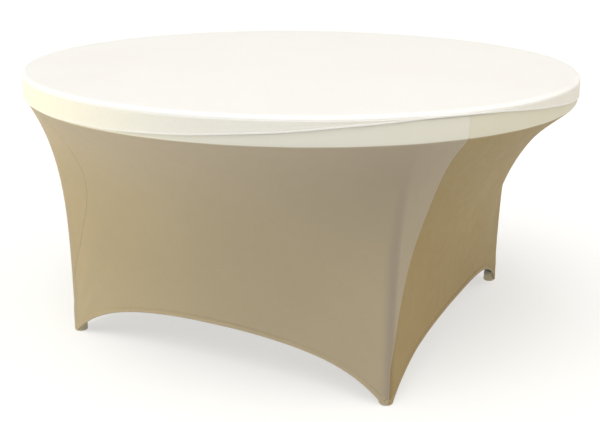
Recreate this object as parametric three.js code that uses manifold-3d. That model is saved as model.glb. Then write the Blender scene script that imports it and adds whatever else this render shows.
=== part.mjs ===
// Fitted stretch tablecloth on a round folding table, with a separate stretch topper cap.
// Millimetres, +Z up. The origin is on the floor under the middle of the table.
// The legs stand at x = +-LEG_X, y = +-LEG_Y. "right" is +X, "left" is -X, "front" is -Y, "back" is +Y.

import * as THREE from 'three';
import { mergeVertices } from 'three/addons/utils/BufferGeometryUtils.js';
import Module from 'manifold-3d';

const wasm = await Module();
wasm.setup();

// ---- Clearances ----
const GAP = 0.3; // between pieces that touch
const FOOT_FLOAT = 0.5; // foot above the floor of its pocket, so that it can swing out
const POCKET_SLACK = 0.5; // pocket wall to foot cap, all round

// ---- Table ----
const TOP_DIAMETER = 1524;
const TABLE_HEIGHT = 737;
const TOP_PLATE = 20; // thickness inside the lip
const LIP_DEPTH = 62; // height of the table's edge
const LIP_WIDTH = 22;
const TOP_EDGE_RADIUS = 8;
const LIP_EDGE_RADIUS = 4;

// ---- Leg frames ----
const LEG_X = 467; // fold axis from the middle
const LEG_Y = 462; // leg from the middle
const LEG_DIAMETER = 28.6;
const LEG_WALL = 1.6;
// pivot below the table's surface: the left frame folds under the right one
const PIVOT_DROP = { right: 44, left: 84 };
const CROSS_TUBE_DROP = 200; // cross tube below the pivot
const BAR_DIAMETER = 22; // pivot tube and cross tube
const FOOT_WALL = 1.4;
const FOOT_HEIGHT = 30;
const FOOT_FLOOR = 4;
const FOOT_CHAMFER = 2;

// ---- Rails, hangers and screws ----
const RAIL_Y = 500; // outer face of a rail's web
const RAIL_LENGTH = 1040;
const RAIL_HEIGHT = 34;
const RAIL_FLANGE = 20;
const RAIL_WALL = 2;
const HANGER_WIDTH = 50;
const HANGER_THICKNESS = 3;
const SCREW_X = [-390, -150, 150, 390];
const SCREW_SHANK_RADIUS = 2.2;
const SCREW_HEAD_RADIUS = 5;
const SCREW_HEAD_HEIGHT = 3;
const SCREW_LENGTH = 14;
const SCREW_TIP = 2; // length of its point

// ---- Folding braces ----
const BRACE_REACH = 300; // bracket pin inwards from the pivot
const LINK_WIDTH = 18;
const LINK_THICKNESS = 3;
const LINK_SIDE_GAP = 0.6; // between the two links
const LINK_EYE_WALL = 5; // metal round the cross tube
const RIVET_RADIUS = 4;
const RIVET_HEAD = 2; // its height, and how far it stands past the shank
const BRACKET_WIDTH = 36;

// ---- Cloth ----
const CLOTH = 1.2; // knit, as a solid
const HEM_CLOTH = 2.2;
const HEM_HEIGHT = 12;
const POCKET_CLOTH = 1.5;
const POCKET_HEIGHT = 50;
const POCKET_INWARD = 20; // side walls past the leg's axis
const HEM_ARCH = 78; // middle of a hem above its ends
const HEM_ARCH_POWER = 2.9;
const SKIRT_BOW = 20; // middle of a panel outside the line of the legs
const FLARE_AT_LEG = 4.5; // how fast the skirt leaves the rim, as a power
const FLARE_AT_MIDDLE = 2.9;
const SEAM_GAP = 0.4; // between two panels
const COVER_TWIST = 10; // degrees that the seams are turned past the legs at the rim
const TWIST_ENDS = 0.62; // share of the way down where a seam meets its leg's line
const TOPPER_DEPTH = 61; // topper's band where it is pulled right down
const TOPPER_RISE = 40; // how far it has ridden up at its highest
const TOPPER_RISE_AT = -38; // degrees from +X
const TOPPER_RISE_SPREAD = 38; // degrees
const ELASTIC_HEIGHT = 6;
const ELASTIC_CLOTH = 2;

const CUT_REACH = 80; // how far a cutting tool runs through what it cuts

// ---- Mesh fineness ----
const ROUND_STEPS = 72;
const PANEL_STEPS = 16;
const TUBE_STEPS = 16;
const BAND_ROWS = 2;
const SCREW_STEPS = 12;
const SKIRT_ROWS = 9;

// ---- Worked-out sizes ----
const rad = THREE.MathUtils.degToRad;
const legRadius = LEG_DIAMETER / 2;
const barRadius = BAR_DIAMETER / 2;
const topRadius = TOP_DIAMETER / 2;
const footRadius = legRadius + GAP + FOOT_WALL;
const pocketRadius = footRadius + POCKET_SLACK;
const footZ = POCKET_CLOTH + FOOT_FLOAT;
const topZ = footZ + TABLE_HEIGHT;
const plateZ = topZ - TOP_PLATE; // underside of the table's plate
const lipZ = topZ - LIP_DEPTH;
const coverSeamZ = topZ - TOP_EDGE_RADIUS; // the disc is sewn to the panels here
const rimZ = lipZ - 1.5; // the skirt leaves the table's edge here
const railTopZ = plateZ - GAP;
// a ring of flat facets is widened so that its facets clear the circle inside it
const aroundCircle = (radius, step) => radius / Math.cos(step / 2);
const panelStep = rad(92) / PANEL_STEPS; // the widest step of a panel round the rim
const boreFor = (radius) => aroundCircle(radius + GAP, rad(360) / TUBE_STEPS);
const coverRadius = topRadius + GAP;
const panelRadius = aroundCircle(coverRadius, panelStep);
const topperRadius = aroundCircle(panelRadius + CLOTH + GAP, rad(360) / ROUND_STEPS);
const coverTopZ = topZ + GAP;
const topperTopZ = coverTopZ + CLOTH + GAP;

// ---- Materials ----
const material = (color, roughness, metalness = 0) =>
  new THREE.MeshStandardMaterial({ color, roughness, metalness });
const ivory = () => material(0xf0ecdc, 0.85);
const cream = () => material(0xcfc7aa, 0.9);
const plastic = () => material(0xdedcd6, 0.6);
const steel = () => material(0x6d7074, 0.45, 0.7);
const zinc = () => material(0xb4b6b8, 0.35, 0.9);
const rubber = () => material(0x2c2c2e, 0.8);

const table = new THREE.Group();

function addPiece(name, geometry, finish) {
  const mesh = new THREE.Mesh(geometry, finish);
  mesh.name = name;
  table.add(mesh);
  return mesh;
}

// ---- Joining and cutting ----
function toSolid(geometry) {
  const bare = geometry.clone();
  for (const name of Object.keys(bare.attributes)) {
    if (name !== 'position') bare.deleteAttribute(name);
  }
  const merged = mergeVertices(bare, 1e-4);
  return new wasm.Manifold(
    new wasm.Mesh({
      numProp: 3,
      vertProperties: new Float32Array(merged.attributes.position.array),
      triVerts: new Uint32Array(merged.index.array),
    }),
  );
}

function toGeometry(solid) {
  const mesh = solid.getMesh();
  const geometry = new THREE.BufferGeometry();
  geometry.setAttribute('position', new THREE.BufferAttribute(mesh.vertProperties, 3));
  geometry.setIndex(new THREE.BufferAttribute(mesh.triVerts, 1));
  geometry.computeVertexNormals();
  return geometry;
}

function cut(geometry, ...tools) {
  let solid = toSolid(geometry);
  for (const tool of tools) solid = solid.subtract(toSolid(tool));
  return toGeometry(solid);
}

// ---- Basic shapes ----
function lathe(points, steps = TUBE_STEPS) {
  const closed = points.map(([r, z]) => new THREE.Vector2(r, z));
  const [first] = closed;
  const last = closed[closed.length - 1];
  const onAxis = first.x === 0 && last.x === 0;
  if (!onAxis) closed.push(first.clone());
  return new THREE.LatheGeometry(closed, steps).rotateX(Math.PI / 2);
}

const box = (x0, x1, y0, y1, z0, z1) =>
  new THREE.BoxGeometry(x1 - x0, y1 - y0, z1 - z0).translate((x0 + x1) / 2, (y0 + y1) / 2, (z0 + z1) / 2);

// a solid bar along Y
const barAlongY = (radius, y0, y1, x, z) =>
  new THREE.CylinderGeometry(radius, radius, y1 - y0, TUBE_STEPS).translate(x, (y0 + y1) / 2, z);

// an outline drawn in x and -z, set upright and extruded along Y from y0
function plateInXZ(shape, y0, thickness) {
  const settings = { depth: thickness, bevelEnabled: false, curveSegments: TUBE_STEPS / 2 };
  return new THREE.ExtrudeGeometry(shape, settings)
    .rotateX(-Math.PI / 2)
    .translate(0, y0, 0);
}

// a closed skin between two grids of points with the same layout: columns, then rows
function skin(inner, outer, wraps) {
  const columns = inner.length;
  const rows = inner[0].length;
  const positions = [...inner.flat(), ...outer.flat()].flatMap((p) => [p.x, p.y, p.z]);
  const index = [];
  const innerAt = (i, j) => (i % columns) * rows + j;
  const outerAt = (i, j) => columns * rows + innerAt(i, j);
  const quad = (a, b, c, d) => index.push(a, b, c, a, c, d);
  const spans = wraps ? columns : columns - 1;
  for (let i = 0; i < spans; i += 1) {
    for (let j = 0; j < rows - 1; j += 1) {
      quad(outerAt(i, j), outerAt(i, j + 1), outerAt(i + 1, j + 1), outerAt(i + 1, j));
      quad(innerAt(i, j), innerAt(i + 1, j), innerAt(i + 1, j + 1), innerAt(i, j + 1));
    }
    quad(innerAt(i, 0), outerAt(i, 0), outerAt(i + 1, 0), innerAt(i + 1, 0));
    const end = rows - 1;
    quad(innerAt(i, end), innerAt(i + 1, end), outerAt(i + 1, end), outerAt(i, end));
  }
  if (!wraps) {
    for (let j = 0; j < rows - 1; j += 1) {
      const last = columns - 1;
      quad(innerAt(0, j), innerAt(0, j + 1), outerAt(0, j + 1), outerAt(0, j));
      quad(innerAt(last, j), outerAt(last, j), outerAt(last, j + 1), innerAt(last, j + 1));
    }
  }
  const geometry = new THREE.BufferGeometry();
  geometry.setAttribute('position', new THREE.Float32BufferAttribute(positions, 3));
  geometry.setIndex(index);
  const merged = mergeVertices(geometry, 1e-4);
  const kept = [];
  for (let t = 0; t < merged.index.count; t += 3) {
    const [a, b, c] = [0, 1, 2].map((n) => merged.index.getX(t + n));
    if (a !== b && b !== c && c !== a) kept.push(a, b, c);
  }
  merged.setIndex(kept);
  merged.computeVertexNormals();
  return merged;
}

// ---- Table top, rails and screws ----
const screwPlaces = [-1, 1].flatMap((side) =>
  SCREW_X.map((x) => ({ x, y: side * (RAIL_Y - RAIL_WALL - (RAIL_FLANGE - RAIL_WALL) / 2) })),
);

function screwHole(place, radius, z0, z1) {
  return new THREE.CylinderGeometry(radius, radius, z1 - z0, SCREW_STEPS)
    .rotateX(Math.PI / 2)
    .translate(place.x, place.y, (z0 + z1) / 2);
}

function cornerPoints(radius, z, corner, from, to, steps) {
  const centre = [radius - corner, z];
  return Array.from({ length: steps + 1 }, (_, i) => {
    const angle = rad(from + ((to - from) * i) / steps);
    return [centre[0] + corner * Math.cos(angle), centre[1] + corner * Math.sin(angle)];
  });
}

function makeTableTop() {
  const profile = [
    [0, plateZ],
    [topRadius - LIP_WIDTH, plateZ],
    [topRadius - LIP_WIDTH, lipZ],
    ...cornerPoints(topRadius, lipZ + LIP_EDGE_RADIUS, LIP_EDGE_RADIUS, -90, 0, 2),
    ...cornerPoints(topRadius, topZ - TOP_EDGE_RADIUS, TOP_EDGE_RADIUS, 0, 90, 3),
    [0, topZ],
  ];
  const holeTop = railTopZ - RAIL_WALL + SCREW_LENGTH + 1;
  const holes = screwPlaces.map((place) => screwHole(place, SCREW_SHANK_RADIUS + GAP, plateZ - 5, holeTop));
  addPiece('table_top', cut(lathe(profile, ROUND_STEPS), ...holes), plastic());
}

function makeRail(name, side) {
  const webOuter = side * RAIL_Y;
  const webInner = side * (RAIL_Y - RAIL_WALL);
  const flangeInner = side * (RAIL_Y - RAIL_FLANGE);
  const shape = new THREE.Shape();
  shape.moveTo(webOuter, railTopZ);
  shape.lineTo(flangeInner, railTopZ);
  shape.lineTo(flangeInner, railTopZ - RAIL_WALL);
  shape.lineTo(webInner, railTopZ - RAIL_WALL);
  shape.lineTo(webInner, railTopZ - RAIL_HEIGHT);
  shape.lineTo(webOuter, railTopZ - RAIL_HEIGHT);
  shape.closePath();
  const rail = new THREE.ExtrudeGeometry(shape, { depth: RAIL_LENGTH, bevelEnabled: false });
  // the outline's x is the object's Y, its y is Z, and it runs along X
  rail.applyMatrix4(new THREE.Matrix4().set(0, 0, 1, -RAIL_LENGTH / 2, 1, 0, 0, 0, 0, 1, 0, 0, 0, 0, 0, 1));
  const holes = screwPlaces
    .filter((place) => Math.sign(place.y) === side)
    .map((place) => screwHole(place, SCREW_SHANK_RADIUS + GAP, railTopZ - RAIL_WALL - 1, railTopZ + 1));
  addPiece(name, cut(rail, ...holes), steel());
}

function makeScrews() {
  const headTop = railTopZ - RAIL_WALL - GAP;
  const profile = [
    [0, headTop - SCREW_HEAD_HEIGHT],
    [SCREW_HEAD_RADIUS * 0.7, headTop - SCREW_HEAD_HEIGHT],
    [SCREW_HEAD_RADIUS, headTop - SCREW_HEAD_HEIGHT * 0.4],
    [SCREW_HEAD_RADIUS, headTop],
    [SCREW_SHANK_RADIUS, headTop],
    [SCREW_SHANK_RADIUS, headTop + SCREW_LENGTH - SCREW_TIP],
    [0, headTop + SCREW_LENGTH],
  ];
  screwPlaces.forEach((place, i) => {
    const screw = addPiece(`rail_screw_${i + 1}`, lathe(profile, SCREW_STEPS), zinc());
    screw.position.set(place.x, place.y, 0);
  });
}

// ---- Leg frames ----
const frames = [
  { side: 'right', sign: 1 },
  { side: 'left', sign: -1 },
];
const legEnds = [
  { end: 'front', sign: -1 },
  { end: 'back', sign: 1 },
];
const pivotZ = (side) => topZ - PIVOT_DROP[side];

function makeLegFrame({ side, sign }) {
  const x = sign * LEG_X;
  const z = pivotZ(side);
  const crossZ = z - CROSS_TUBE_DROP;
  const hangerInner = RAIL_Y - RAIL_WALL - GAP - HANGER_THICKNESS;
  const pivotEnd = hangerInner + HANGER_THICKNESS;
  addPiece(`pivot_tube_${side}`, barAlongY(barRadius, -pivotEnd, pivotEnd, x, z), steel());

  const legBlank = (y) =>
    new THREE.CylinderGeometry(legRadius + GAP, legRadius + GAP, CUT_REACH, TUBE_STEPS)
      .rotateX(Math.PI / 2)
      .translate(x, y, crossZ);
  const crossTube = cut(
    barAlongY(barRadius, -LEG_Y, LEG_Y, x, crossZ),
    legBlank(-LEG_Y),
    legBlank(LEG_Y),
  );
  addPiece(`cross_tube_${side}`, crossTube, steel());

  for (const { end, sign: ySign } of legEnds) {
    const y = ySign * LEG_Y;
    const legBottom = footZ + FOOT_FLOOR + GAP;
    const legProfile = [
      [legRadius - LEG_WALL, legBottom],
      [legRadius, legBottom],
      [legRadius, z],
      [legRadius - LEG_WALL, z],
    ];
    const seat = barAlongY(barRadius + GAP, y - CUT_REACH / 2, y + CUT_REACH / 2, x, z);
    const leg = cut(lathe(legProfile).translate(x, y, 0), seat);
    addPiece(`leg_tube_${side}_${end}`, leg, steel());

    const footProfile = [
      [0, footZ],
      [footRadius - FOOT_CHAMFER, footZ],
      [footRadius, footZ + FOOT_CHAMFER],
      [footRadius, footZ + FOOT_HEIGHT],
      [legRadius + GAP, footZ + FOOT_HEIGHT],
      [legRadius + GAP, footZ + FOOT_FLOOR],
      [0, footZ + FOOT_FLOOR],
    ];
    const foot = addPiece(`foot_cap_${side}_${end}`, lathe(footProfile), rubber());
    foot.position.set(x, y, 0);

    // the hanger: a plate with a round lower end, bored for the pivot tube
    const hangerTop = railTopZ - RAIL_WALL - GAP;
    const hangerShape = new THREE.Shape();
    hangerShape.moveTo(x - HANGER_WIDTH / 2, -hangerTop);
    hangerShape.lineTo(x - HANGER_WIDTH / 2, -z);
    hangerShape.absarc(x, -z, HANGER_WIDTH / 2, Math.PI, 0, true);
    hangerShape.lineTo(x + HANGER_WIDTH / 2, -hangerTop);
    hangerShape.closePath();
    const bore = new THREE.Path().absarc(x, -z, boreFor(barRadius), 0, Math.PI * 2, false);
    hangerShape.holes.push(bore);
    const hangerY = ySign > 0 ? hangerInner : -hangerInner - HANGER_THICKNESS;
    const hanger = plateInXZ(hangerShape, hangerY, HANGER_THICKNESS);
    addPiece(`pivot_hanger_${side}_${end}`, hanger, zinc());
  }
}

// ---- Folding braces: straight when the frame stands, doubled back when it is folded ----
const openSpan = Math.hypot(BRACE_REACH, CROSS_TUBE_DROP);
const foldedSpan = BRACE_REACH - CROSS_TUBE_DROP;
const upperLength = (openSpan - foldedSpan) / 2;

function linkShape(from, to, fromRadius, toRadius, fromBore, toBore) {
  const angle = Math.atan2(to.y - from.y, to.x - from.x);
  const shape = new THREE.Shape();
  shape.absarc(from.x, from.y, fromRadius, angle + Math.PI / 2, angle - Math.PI / 2, false);
  shape.absarc(to.x, to.y, toRadius, angle - Math.PI / 2, angle + Math.PI / 2, false);
  shape.closePath();
  if (fromBore) shape.holes.push(new THREE.Path().absarc(from.x, from.y, fromBore, 0, Math.PI * 2, false));
  if (toBore) shape.holes.push(new THREE.Path().absarc(to.x, to.y, toBore, 0, Math.PI * 2, false));
  return shape;
}

function makeBrace({ side, sign }) {
  const z = pivotZ(side);
  const pin = new THREE.Vector2(sign * (LEG_X - BRACE_REACH), -z);
  const cross = new THREE.Vector2(sign * LEG_X, -z + CROSS_TUBE_DROP);
  const elbow = pin.clone().lerp(cross, upperLength / openSpan);
  const bore = boreFor(RIVET_RADIUS);
  const half = LINK_WIDTH / 2;

  const upperY = LINK_SIDE_GAP / 2;
  const upper = plateInXZ(linkShape(pin, elbow, half, half, bore, 0), upperY, LINK_THICKNESS);
  addPiece(`brace_upper_link_${side}`, upper, zinc());

  const lowerY = -LINK_SIDE_GAP / 2 - LINK_THICKNESS;
  const eye = boreFor(barRadius);
  const lower = linkShape(elbow, cross, half, eye + LINK_EYE_WALL, bore, eye);
  addPiece(`brace_lower_link_${side}`, plateInXZ(lower, lowerY, LINK_THICKNESS), zinc());

  // the elbow rivet sits in the lower link, with its head outside it
  const headY = lowerY - GAP;
  const rivetHead = barAlongY(RIVET_RADIUS + RIVET_HEAD, headY - RIVET_HEAD, headY, elbow.x, -elbow.y);
  const shankStart = headY - RIVET_HEAD / 2;
  const rivetShank = barAlongY(RIVET_RADIUS, shankStart, lowerY + LINK_THICKNESS, elbow.x, -elbow.y);
  addPiece(`elbow_rivet_${side}`, toGeometry(toSolid(rivetHead).add(toSolid(rivetShank))), zinc());

  // the bracket: a foot under the table's plate and one ear beside the upper link
  const earY = upperY + LINK_THICKNESS + GAP;
  const footTop = plateZ - GAP;
  const ear = new THREE.Shape();
  ear.moveTo(pin.x - BRACKET_WIDTH / 2, -footTop);
  ear.lineTo(pin.x - half, pin.y);
  ear.absarc(pin.x, pin.y, half, Math.PI, 0, true);
  ear.lineTo(pin.x + BRACKET_WIDTH / 2, -footTop);
  ear.closePath();
  ear.holes.push(new THREE.Path().absarc(pin.x, pin.y, bore, 0, Math.PI * 2, false));
  const earPlate = plateInXZ(ear, earY, LINK_THICKNESS);
  const foot = box(
    pin.x - BRACKET_WIDTH / 2,
    pin.x + BRACKET_WIDTH / 2,
    earY,
    earY + BRACKET_WIDTH,
    footTop - LINK_THICKNESS,
    footTop,
  );
  addPiece(`brace_bracket_${side}`, toGeometry(toSolid(earPlate).add(toSolid(foot))), zinc());

  const pinHead = earY + LINK_THICKNESS + GAP;
  const head = barAlongY(RIVET_RADIUS + RIVET_HEAD, pinHead, pinHead + RIVET_HEAD, pin.x, -pin.y);
  const shank = barAlongY(RIVET_RADIUS, upperY, pinHead + RIVET_HEAD / 2, pin.x, -pin.y);
  addPiece(`bracket_pin_${side}`, toGeometry(toSolid(head).add(toSolid(shank))), zinc());
}

// ---- Base cover ----
// Corners run round the table: right front, right back, left back, left front.
const corners = [
  [1, -1],
  [1, 1],
  [-1, 1],
  [-1, -1],
];
const panelNames = ['right', 'back', 'left', 'front'];

function sideOf(k) {
  const [x0, y0] = corners[k];
  const [x1, y1] = corners[(k + 1) % 4];
  const start = new THREE.Vector2(x0 * LEG_X, y0 * LEG_Y);
  const end = new THREE.Vector2(x1 * LEG_X, y1 * LEG_Y);
  const along = end.clone().sub(start).normalize();
  const outward = new THREE.Vector2(along.y, -along.x);
  return { start, end, along, outward, straight: start.distanceTo(end) };
}

// a point at the foot of side k, where f runs from 0 at one leg to 1 at the next
function basePoint(k, f) {
  const side = sideOf(k);
  const arc = (pocketRadius * Math.PI) / 4;
  const travelled = f * (side.straight + 2 * arc);
  if (travelled <= arc || travelled >= arc + side.straight) {
    const first = travelled <= arc;
    const pastStraight = first ? travelled - arc : travelled - arc - side.straight;
    const turn = pastStraight / pocketRadius;
    const centre = first ? side.start : side.end;
    const direction = side.outward.clone().rotateAround(new THREE.Vector2(), turn);
    return centre.clone().addScaledVector(direction, pocketRadius);
  }
  const share = (travelled - arc) / side.straight;
  return side.start
    .clone()
    .addScaledVector(side.along, travelled - arc)
    .addScaledVector(side.outward, pocketRadius + SKIRT_BOW * Math.sin(Math.PI * share));
}

const sideNumber = (n) => ((n % 4) + 4) % 4;

// Round the table, the whole number of g is the side and its fraction the place along that side.
function rimPoint(g) {
  const k = Math.floor(g);
  const cornerAngle = (n) => {
    const [x, y] = corners[sideNumber(n)];
    return Math.atan2(y * LEG_Y, x * LEG_X);
  };
  const from = cornerAngle(k);
  let to = cornerAngle(k + 1);
  while (to < from) to += 2 * Math.PI;
  const angle = from + (to - from) * (g - k);
  return new THREE.Vector2(panelRadius * Math.cos(angle), panelRadius * Math.sin(angle));
}

const fromMiddle = (g) => Math.abs(2 * (g - Math.floor(g)) - 1);
const hemZ = (g) => POCKET_HEIGHT + GAP + HEM_ARCH * (1 - fromMiddle(g) ** HEM_ARCH_POWER);

// the seams start at the rim, turned past the legs, and join the legs' lines part of the way down
const seamTurn = (down) => (COVER_TWIST / 90) * Math.max(0, 1 - Math.max(0, down) / TWIST_ENDS);

// the cover's inner surface: down runs from -1 at the rim's seam, past 0 at the rim's foot, to 1 at the hem
function coverPoint(g, down) {
  const rim = rimPoint(g);
  if (down <= 0) return new THREE.Vector3(rim.x, rim.y, rimZ - down * (coverSeamZ - GAP - rimZ));
  const base = basePoint(sideNumber(Math.floor(g)), g - Math.floor(g));
  const power = FLARE_AT_MIDDLE + (FLARE_AT_LEG - FLARE_AT_MIDDLE) * fromMiddle(g) ** 2;
  const place = base.lerp(rim, (1 - Math.min(1, down)) ** power);
  return new THREE.Vector3(place.x, place.y, rimZ + (hemZ(g) - rimZ) * down);
}

function coverNormal(g, down) {
  const step = 1e-3;
  const across = coverPoint(g + step, down).sub(coverPoint(g - step, down));
  const along = coverPoint(g, Math.min(1, down + step)).sub(coverPoint(g, down - step));
  return along.cross(across).normalize();
}

const cornerArc = (pocketRadius * Math.PI) / 4;
const arcShare = cornerArc / (sideOf(0).straight + 2 * cornerArc);

// places along a panel, from its first leg to just past its second, close together at the legs
function panelPlaces() {
  const places = [0, arcShare / 2];
  for (let i = 0; i <= PANEL_STEPS; i += 1) places.push(arcShare + ((1 - 2 * arcShare) * i) / PANEL_STEPS);
  places.push(1 - arcShare / 2, 1, 1 + arcShare / 2, 1 + arcShare);
  const turned = seamTurn(0);
  for (let i = 1; i <= 2; i += 1) places.push(1 + arcShare + ((turned - arcShare) * i) / 2);
  return places;
}

// a point that comes close to a seam moves onto it, at the seam's own rows, so that no triangle is a sliver
function coverSkin(k, rowsAt, thickness) {
  const edge = SEAM_GAP / 2 / sideOf(k).straight;
  const close = arcShare / 4;
  const firstSeam = { rows: rowsAt(k), at: (down) => seamTurn(down) + edge };
  const lastSeam = { rows: rowsAt(k + 1), at: (down) => 1 + seamTurn(down) - edge };
  const inner = [];
  const outer = [];
  for (const wanted of panelPlaces()) {
    const columnIn = [];
    const columnOut = [];
    rowsAt(k + Math.min(wanted, 1)).forEach((ownDown, row) => {
      let seam = null;
      if (wanted < firstSeam.at(ownDown) + close) seam = firstSeam;
      if (wanted > lastSeam.at(ownDown) - close) seam = lastSeam;
      const down = seam ? seam.rows[row] : ownDown;
      const g = k + (seam ? seam.at(down) : wanted);
      const place = coverPoint(g, down);
      columnIn.push(place);
      columnOut.push(place.clone().addScaledVector(coverNormal(g, down), thickness));
    });
    inner.push(columnIn);
    outer.push(columnOut);
  }
  return skin(inner, outer, false);
}

const downAt = (g, aboveHem) => 1 - aboveHem / (rimZ - hemZ(g));

function makePanelAndHem(k) {
  const name = panelNames[k];
  const panelRows = (g) => {
    const last = downAt(g, HEM_HEIGHT + GAP);
    const rows = [];
    for (let i = 0; i < BAND_ROWS; i += 1) rows.push(i / BAND_ROWS - 1);
    for (let i = 0; i <= SKIRT_ROWS; i += 1) rows.push(last * (i / SKIRT_ROWS) ** 1.2);
    return rows;
  };
  addPiece(`cover_panel_${name}`, coverSkin(k, panelRows, CLOTH), cream());
  addPiece(`cover_hem_${name}`, coverSkin(k, (g) => [downAt(g, HEM_HEIGHT), 1], HEM_CLOTH), cream());
}

function makeCoverTop() {
  const inner = [[0, coverTopZ], ...cornerPoints(coverRadius, coverSeamZ, TOP_EDGE_RADIUS + GAP, 90, 0, 3)];
  const outerRadius = coverRadius + CLOTH;
  const outerCorner = TOP_EDGE_RADIUS + GAP + CLOTH;
  const outer = cornerPoints(outerRadius, coverSeamZ, outerCorner, 0, 90, 3);
  addPiece('cover_top', lathe([...inner, ...outer, [0, coverTopZ + CLOTH]], ROUND_STEPS), cream());
}

// ---- Foot pockets: a cup with its side towards the middle left open ----
function makePocket([xSign, ySign]) {
  const outline = (radius, inward) => {
    const shape = new THREE.Shape();
    shape.moveTo(-inward, -radius);
    shape.lineTo(0, -radius);
    shape.absarc(0, 0, radius, -Math.PI / 2, Math.PI / 2, false);
    shape.lineTo(-inward, radius);
    shape.closePath();
    return shape;
  };
  const extrude = (shape, depth) =>
    new THREE.ExtrudeGeometry(shape, { depth, bevelEnabled: false, curveSegments: 8 });
  const cup = extrude(outline(pocketRadius + POCKET_CLOTH, POCKET_INWARD), POCKET_HEIGHT);
  const room = extrude(outline(pocketRadius, POCKET_INWARD + CUT_REACH), POCKET_HEIGHT);
  room.translate(0, 0, POCKET_CLOTH);
  const geometry = cut(cup, room);
  if (xSign < 0) geometry.rotateZ(Math.PI);
  const name = `foot_pocket_${xSign > 0 ? 'right' : 'left'}_${ySign < 0 ? 'front' : 'back'}`;
  const pocket = addPiece(name, geometry, cream());
  pocket.position.set(xSign * LEG_X, ySign * LEG_Y, 0);
}

// ---- Topper cap ----
function topperHemZ(angle) {
  let away = THREE.MathUtils.radToDeg(angle) - TOPPER_RISE_AT;
  away -= 360 * Math.round(away / 360);
  const rise = TOPPER_RISE * Math.exp(-((away / TOPPER_RISE_SPREAD) ** 2));
  return topperTopZ - TOPPER_DEPTH + rise;
}

function topperSkin(rowsAt, thickness) {
  const inner = [];
  const outer = [];
  for (let i = 0; i < ROUND_STEPS; i += 1) {
    const angle = (2 * Math.PI * i) / ROUND_STEPS;
    const at = ([r, z]) => new THREE.Vector3(r * Math.cos(angle), r * Math.sin(angle), z);
    inner.push(rowsAt(angle, 0).map(at));
    outer.push(rowsAt(angle, thickness).map(at));
  }
  return skin(inner, outer, true);
}

function makeTopper() {
  const corner = TOP_EDGE_RADIUS + 2 * GAP + CLOTH;
  const cornerZ = topperTopZ - corner;
  const topRows = (angle, out) => [
    [0, topperTopZ + out],
    ...cornerPoints(topperRadius + out, cornerZ, corner + out, 90, 0, 3),
  ];
  addPiece('topper_top', topperSkin(topRows, CLOTH), ivory());
  const ring = (topAt, bottomAt) => (angle, out) => [
    [topperRadius + out, topAt(angle)],
    [topperRadius + out, bottomAt(angle)],
  ];
  const elasticTop = (angle) => topperHemZ(angle) + ELASTIC_HEIGHT;
  const band = ring(
    () => cornerZ - GAP,
    (angle) => elasticTop(angle) + GAP,
  );
  addPiece('topper_band', topperSkin(band, CLOTH), ivory());
  addPiece('topper_elastic', topperSkin(ring(elasticTop, topperHemZ), ELASTIC_CLOTH), ivory());
}

makeTableTop();
makeRail('side_rail_front', -1);
makeRail('side_rail_back', 1);
makeScrews();
frames.forEach(makeLegFrame);
frames.forEach(makeBrace);
makeCoverTop();
corners.forEach((corner, k) => makePanelAndHem(k));
corners.forEach(makePocket);
makeTopper();

export default table;
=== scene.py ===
import math

import bmesh
import bpy
import numpy as np
from mathutils import Matrix, Vector


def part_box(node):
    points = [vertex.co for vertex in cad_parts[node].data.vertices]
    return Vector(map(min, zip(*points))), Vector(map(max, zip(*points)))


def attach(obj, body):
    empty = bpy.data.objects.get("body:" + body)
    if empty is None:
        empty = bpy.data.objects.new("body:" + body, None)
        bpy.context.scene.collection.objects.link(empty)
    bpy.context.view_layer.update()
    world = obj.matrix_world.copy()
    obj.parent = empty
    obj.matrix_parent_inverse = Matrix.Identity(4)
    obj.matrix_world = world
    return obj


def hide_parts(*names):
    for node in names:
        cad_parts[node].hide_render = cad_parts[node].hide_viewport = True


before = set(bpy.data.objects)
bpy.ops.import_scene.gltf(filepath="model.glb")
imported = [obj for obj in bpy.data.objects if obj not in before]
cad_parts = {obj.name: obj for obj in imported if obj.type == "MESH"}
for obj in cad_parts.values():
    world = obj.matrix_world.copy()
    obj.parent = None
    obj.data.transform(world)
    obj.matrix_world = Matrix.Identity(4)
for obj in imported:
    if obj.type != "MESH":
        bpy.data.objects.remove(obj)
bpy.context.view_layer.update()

# ---------------------------------------------------------------- sizes taken from the frame, in metres
top_low, top_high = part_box("table_top")
foot_low, foot_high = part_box("foot_cap_right_front")
leg_low, leg_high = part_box("leg_tube_right_front")
disc_low, disc_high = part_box("cover_top")
_, pocket_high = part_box("foot_pocket_right_front")
_, hem_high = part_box("cover_hem_front")
_, topper_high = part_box("topper_top")

LEG_X = (foot_low.x + foot_high.x) / 2
LEG_Y = -(foot_low.y + foot_high.y) / 2
TUBE_RADIUS = (leg_high.x - leg_low.x) / 2
TOP_Z = top_high.z
RIM_Z = top_low.z - 0.0015  # the skirt leaves the table's edge here
DISC_SEAM_Z = disc_low.z
DISC_Z = disc_high.z
TOPPER_Z = topper_high.z

# ---------------------------------------------------------------- the cover's sizes
CLOTH = 0.0008
COVER_RADIUS = disc_high.x + 0.0001
COVER_INSET = 0.0180  # cover to leg axis at a foot, over the pocket
TUBE_INSET = TUBE_RADIUS + 0.0016  # cover to leg axis higher up, tight on the tube
DISC_GAP = 0.0004  # table top to the cover's disc
DISC_CORNER = 0.0088
RIM_ROLL = 0.005  # how softly the cloth turns under the table's edge
RIM_FADE = 0.04
SKIRT_BOW = 0.020
FLARE_AT_LEG = 4.5  # powers of the skirt's sweep in under the table
FLARE_AT_MIDDLE = 2.9
FULLNESS = 1.2  # the cover hangs fuller before the right back leg
FULLNESS_AT = 0.82
FULLNESS_SPREAD = 0.22

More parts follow.
